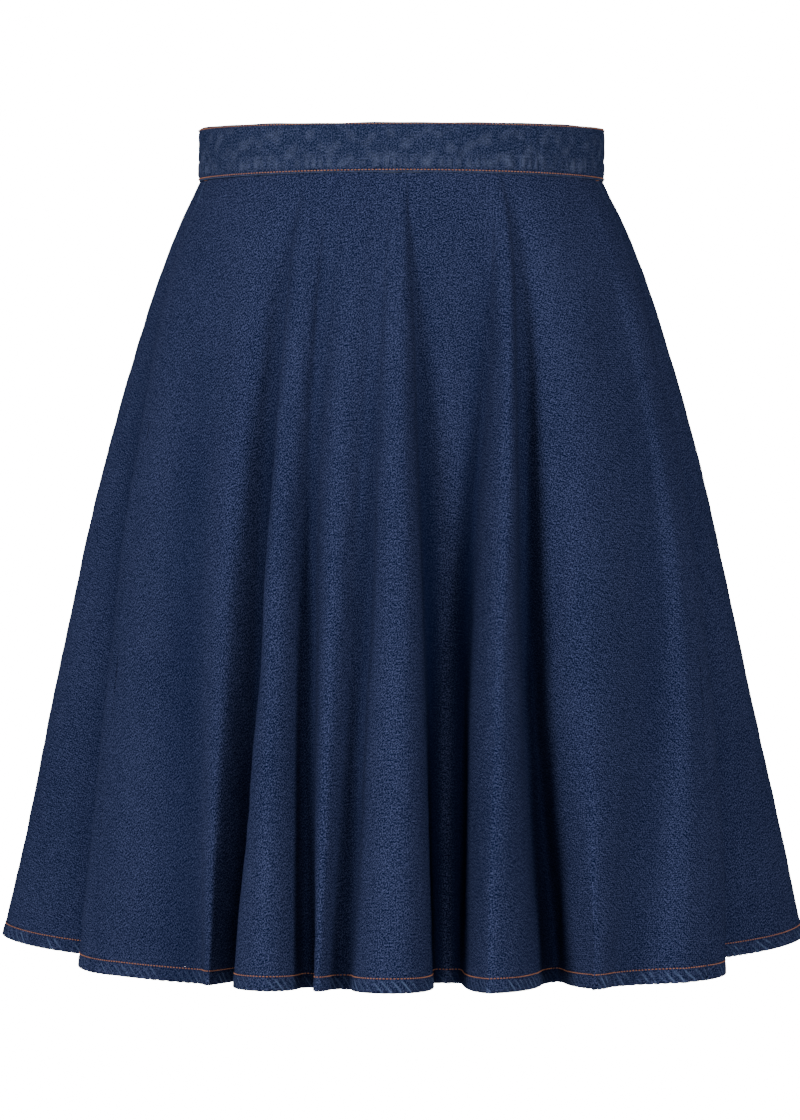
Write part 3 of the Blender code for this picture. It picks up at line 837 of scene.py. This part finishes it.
def band_relief(around, height):
    """Relief and wear of the band's face: the seam allowance inside shows as a ledge, with
    puckers between it and the topstitching."""
    low = -BAND_HEIGHT / 2
    ledge = low + uneven("ledge", around)
    step = 1 - smooth(height, ledge + LEDGE_EDGE[0], ledge + LEDGE_EDGE[1])
    patchy = np.clip(uneven("patches", around), LEAST_PATCH, 1)
    pucker = np.sin(2 * math.pi * (around + uneven("pucker_slip", around)) / PUCKER_LENGTH)
    short = (smooth(height, low + SHORT_RISE[0], low + SHORT_RISE[1])
             * (1 - smooth(height, ledge - SHORT_END, ledge)))
    tall = (smooth(height, low + TALL_RISE[0], low + TALL_RISE[1])
            * (1 - smooth(height, *TALL_FALL)))
    relief = step * patchy * LEDGE_HEIGHT
    relief = relief + pucker * patchy * (short * SHORT_PUCKERS + tall * TALL_PUCKERS)
    relief = relief + uneven("band_fine", around, height) + uneven("band_broad", around, height)
    groove = bell(height, ledge + LEDGE_GROOVE_UP, LEDGE_GROOVE_WIDTH)
    relief = relief - LEDGE_GROOVE * patchy * groove
    for centre in (low + STITCH_FROM_WAIST, BAND_HEIGHT / 2 - STITCH_FROM_TOP):
        relief = relief * (1 - bell(height, centre, BAND_GROOVE_FLAT))
        relief = relief - BAND_GROOVE * bell(height, centre, BAND_GROOVE_WIDTH)
    worn = PUCKER_WEAR * step * patchy * short * (0.5 + 0.5 * pucker)
    worn = worn + LEDGE_WEAR * patchy * bell(height, ledge, LEDGE_WEAR_WIDTH)
    worn = worn + PATCH_WEAR * np.clip(uneven("band_wear", around, height), 0, 1) * tall
    return relief, worn


def band_ring(count):
    """Bearings, middle points and ways out of the band, round from the centre back."""
    bearing = np.linspace(-math.pi, math.pi, count)
    x, y, out_x, out_y = plan(0.0, bearing)
    return bearing, np.column_stack([x, y, 0 * x]), np.column_stack([out_x, out_y, 0 * x])


def band_edges(bearing):
    side = np.sin(bearing)**2
    return (-BAND_HEIGHT / 2 - SEAM_DIP * side + SEAM_GAP / 2,
            BAND_HEIGHT / 2 + BAND_TOP_RISE * side)


def make_band():
    bearing, line, out = band_ring(int(math.pi * FLAT_WAIST_RADIUS / BAND_COLUMN))
    around = distances(line[None])[0][None, :]
    low, high = band_edges(bearing)
    t = np.array(BAND_LEVELS)[:, None]
    rows = low[None, :] + (high - low)[None, :] * t
    nominal = BAND_HEIGHT * (t - 0.5)
    relief, worn = band_relief(around, nominal)
    edge = np.minimum(t, 1 - t) * BAND_HEIGHT
    radius = BAND_THICKNESS / 2
    rounding = radius - np.sqrt(np.maximum(radius**2 - np.maximum(radius - edge, 0)**2, 0))
    face = radius - rounding * BAND_EDGE_ROUNDING
    outside = face + relief * smooth(edge, 0.0, BAND_RELIEF_FROM_EDGE)
    inside = face + uneven("band_inside", around, nominal)
    outer = line[None] + out[None] * outside[..., None]
    inner = line[None] - out[None] * inside[..., None]
    widening = smooth(rows[:, :1], *BAND_GAP_WIDENS)
    gap = BAND_END_GAP + (BAND_GAP_AT_SLIDER - BAND_END_GAP) * widening
    reach = 1 - smooth(around, 0.0, BAND_GAP_REACH)
    for grid in (outer, inner):
        grid[..., 0] += gap / 2 * (reach[:, ::-1] - reach)
        grid[..., 2] = rows + uneven("band_top", around) * smooth(t, *BAND_TOP_WAVERS)
    flat = np.stack([around + 0 * rows, nominal + BAND_CUT_AWAY + 0 * rows], axis=-1)
    worn = worn + BAND_EDGE_WEAR * bell(edge, 0, BAND_EDGE_WEAR_WIDTH)
    band = loft("waistband_cloth", np.concatenate([outer[::-1], inner]), [BAND_DENIM], None,
                round_section(flat[::-1]), round_section(worn[::-1], INSIDE_WEAR))
    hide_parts("waistband")

    for name, height in (("waist_topstitch", low + STITCH_FROM_WAIST),
                         ("top_topstitch", high - STITCH_FROM_TOP)):
        for label, way in (("face", out), ("inside", -out)):
            row = line + way * (radius - BAND_THREAD_SINKS)
            row[:, 2] = height
            keep = (row[:, 1] < 0) | (np.abs(row[:, 0]) > BAND_STITCH_CLEARS_ENDS)
            sewn = stitches(name + "_" + label, row[keep], way[keep], BAND_STITCH_START)


# ---------------------------------------------------------------- pocket bags and zip

def make_bag(name):
    row_count, column_count = BAG_GRID
    rows = np.linspace(*BAG_ROWS, row_count)
    points, out = cloth_and_ways(rows, np.linspace(*BAG_SPANS[name], column_count))
    along = distances(points)
    edge = along if name.endswith("left") else along[:, -1:] - along
    middle = points + out * pocket_lift(rows[:, None], edge)[..., None]
    near = CLOTH_THICKNESS / 2 + SEAM_GAP + BAG_STANDS_IN
    puff = BAG_PUFF * np.sqrt(np.sin(math.pi * np.linspace(0, 1, column_count))[None, :]
                              * np.sin(math.pi * np.linspace(0.02, 0.98, row_count))[:, None])
    far = near + BAG_THICKNESS + puff + uneven("bag_crease", along, rows[:, None])
    outer = meet_at_seams(middle - out * near)
    inner = meet_at_seams(middle - out * far[..., None])
    bag = loft(name + "_cloth", np.concatenate([outer, inner[::-1]]), [COTTON])
    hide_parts(name)


def zip_lines():
    """Rows of points on the inner face at the centre back, from the slider down, for each side,
    and the ways out from them."""
    row_count, column_count = ZIP_GRID
    lines = {}
    for side, name in ((-1, "right"), (1, "left")):
        places = BACK_SEAM + side * np.linspace(0, ZIP_PLACES, column_count)
        points = cloth(np.linspace(ZIP_START, ZIP_END, row_count), places)
        out = ways_out(points) * side
        points = points - out * (CLOTH_THICKNESS / 2 + TAPE_GAP)
        x, y, bearing = ring(0.0, places)
        _, _, out_x, out_y = plan(0.0, bearing)
        band_out = np.column_stack([out_x, out_y, 0 * x])
        heights = np.linspace(SLIDER_LOW - SEAM_GAP, -BAND_HEIGHT / 2 + SEAM_GAP, ZIP_BAND_ROWS)
        band = np.array([np.column_stack([x, y, 0 * x + z]) for z in heights])
        band = band - band_out * (BAND_THICKNESS / 2 + SEAM_GAP)
        band_out = np.repeat(band_out[None], ZIP_BAND_ROWS, axis=0)
        lines[name] = (np.concatenate([band, points]), np.concatenate([band_out, out]))
    return lines


def coil_path(grid, out):
    """The coil's thread, which crosses from side to side once at each tooth."""
    sides = np.array([values_along(row, row, COIL_SIDES) for row in grid])
    near_side, far_side = sides[:, 0], sides[:, 1]
    way = unit(np.array([values_along(row, w, COIL_SIDES[0]) for row, w in zip(grid, out)]))
    length = distances(near_side[None])[0, -1]
    at = np.linspace(0, length, int(length / COIL_PITCH) * len(COIL_TURN) + 1)
    across, height = np.array(COIL_TURN)[np.arange(len(at)) % len(COIL_TURN)].T
    near = values_along(near_side, near_side, at)
    far = values_along(near_side, far_side, at)
    way = unit(values_along(near_side, way, at))
    return near + (far - near) * across[:, None] - way * height[:, None]


def make_zip():
    for name, (grid, out) in zip_lines().items():
        outer = np.array([values_along(row, row, TAPE_COLUMNS) for row in grid])
        ways = unit(np.array([values_along(row, w, TAPE_COLUMNS) for row, w in zip(grid, out)]))
        inner = outer - ways * TAPE_THICKNESS
        if name == "right":
            outer, inner = outer[:, ::-1], inner[:, ::-1]
        tape = loft("zip_tape_" + name + "_woven", np.concatenate([outer, inner[::-1]]), [TAPE])
        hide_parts("zip_tape_" + name)
        coil = tubes("zip_coil_" + name, coil_path(grid, out)[None], COIL_RADIUS, COIL)
    for name in ("zip_slider", "zip_pull"):
        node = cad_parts[name]
        node.data.materials.clear()
        node.data.materials.append(METAL)


# ---------------------------------------------------------------- camera, light and floor

def stage_material(name):
    """Pale paper with a painted glow: its emission is brightest at the middle of the backdrop and
    fades softly outwards, and it also lights the skirt.
    """
    n = Nodes(name)
    away = n.add("ShaderNodeVectorMath", {"operation": "DISTANCE"})
    n.put(away.inputs[0], n.place())
    away.inputs[1].default_value = GLOW_CENTRE
    glow = n.add("ShaderNodeMapRange", {"interpolation_type": "SMOOTHSTEP"})
    n.put(glow.inputs[0], away.outputs["Value"])
    for i, value in enumerate(GLOW_FADES + GLOW_STRENGTHS, start=1):
        glow.inputs[i].default_value = value
    n.shade(Emission_Strength=glow.outputs[0], Emission_Color=colour(1, 1, 1), Roughness=1.0,
            Base_Color=colour(PAPER_GREY, PAPER_GREY, PAPER_GREY), Specular_IOR_Level=0.0)
    return n.material


def make_stage():
    """A pale floor well below the hem, and a plain curved backdrop behind the skirt."""
    profile = [(FLOOR_FRONT, FLOOR_Z), (FLOOR_MIDDLE, FLOOR_Z), (BEND_START, FLOOR_Z)]
    profile += [(BEND_START + BEND_RADIUS * math.sin(a), FLOOR_Z + BEND_RADIUS * (1 - math.cos(a)))
                for a in np.linspace(0, math.pi / 2, 16)[1:]]
    profile += [(BEND_START + BEND_RADIUS, BACKDROP_TOP)]
    points = [(x, y, z) for y, z in profile for x in (-STAGE_HALF_WIDTH, STAGE_HALF_WIDTH)]
    faces = [(2 * k, 2 * k + 1, 2 * k + 3, 2 * k + 2) for k in range(len(profile) - 1)]
    mesh = bpy.data.meshes.new("studio_floor")
    mesh.from_pydata(points, [], faces)
    mesh.shade_smooth()
    mesh.materials.append(stage_material("studio_paper"))
    floor = bpy.data.objects.new("studio_floor", mesh)
    bpy.context.scene.collection.objects.link(floor)


def area_light(name, place, size, power):
    lamp = bpy.data.lights.new(name, "AREA")
    lamp.size = size
    lamp.energy = power
    made = bpy.data.objects.new(name, lamp)
    bpy.context.scene.collection.objects.link(made)
    made.location = place
    made.rotation_mode = "QUATERNION"
    made.rotation_quaternion = (Vector(AIM) - Vector(place)).to_track_quat("-Z", "Y")


def make_camera_and_lights():
    lens = bpy.data.cameras.new("photo_camera")
    lens.sensor_width = SENSOR_MM
    lens.lens = LENS_MM
    camera = bpy.data.objects.new("photo_camera", lens)
    bpy.context.scene.collection.objects.link(camera)
    camera.location = CAMERA_PLACE
    camera.rotation_euler = (math.pi / 2 - math.atan(TILT_PIXELS / FOCAL_PIXELS), 0.0, 0.0)
    bpy.context.scene.camera = camera
    for light in LIGHTS:
        area_light(*light)
    world = bpy.data.worlds.new("studio")
    world.use_nodes = True
    world.node_tree.nodes["Background"].inputs[0].default_value = colour(1, 1, 1)
    world.node_tree.nodes["Background"].inputs[1].default_value = WORLD_STRENGTH
    bpy.context.scene.world = world


make_camera_and_lights()
make_stage()
for panel_name, (cut_size, cut_area) in PANEL_CUTS.items():
    made_panel = make_panel(panel_name)
    made_hem = make_hem(panel_name)
make_band()
for bag_name in BAG_SPANS:
    make_bag(bag_name)
make_zip()
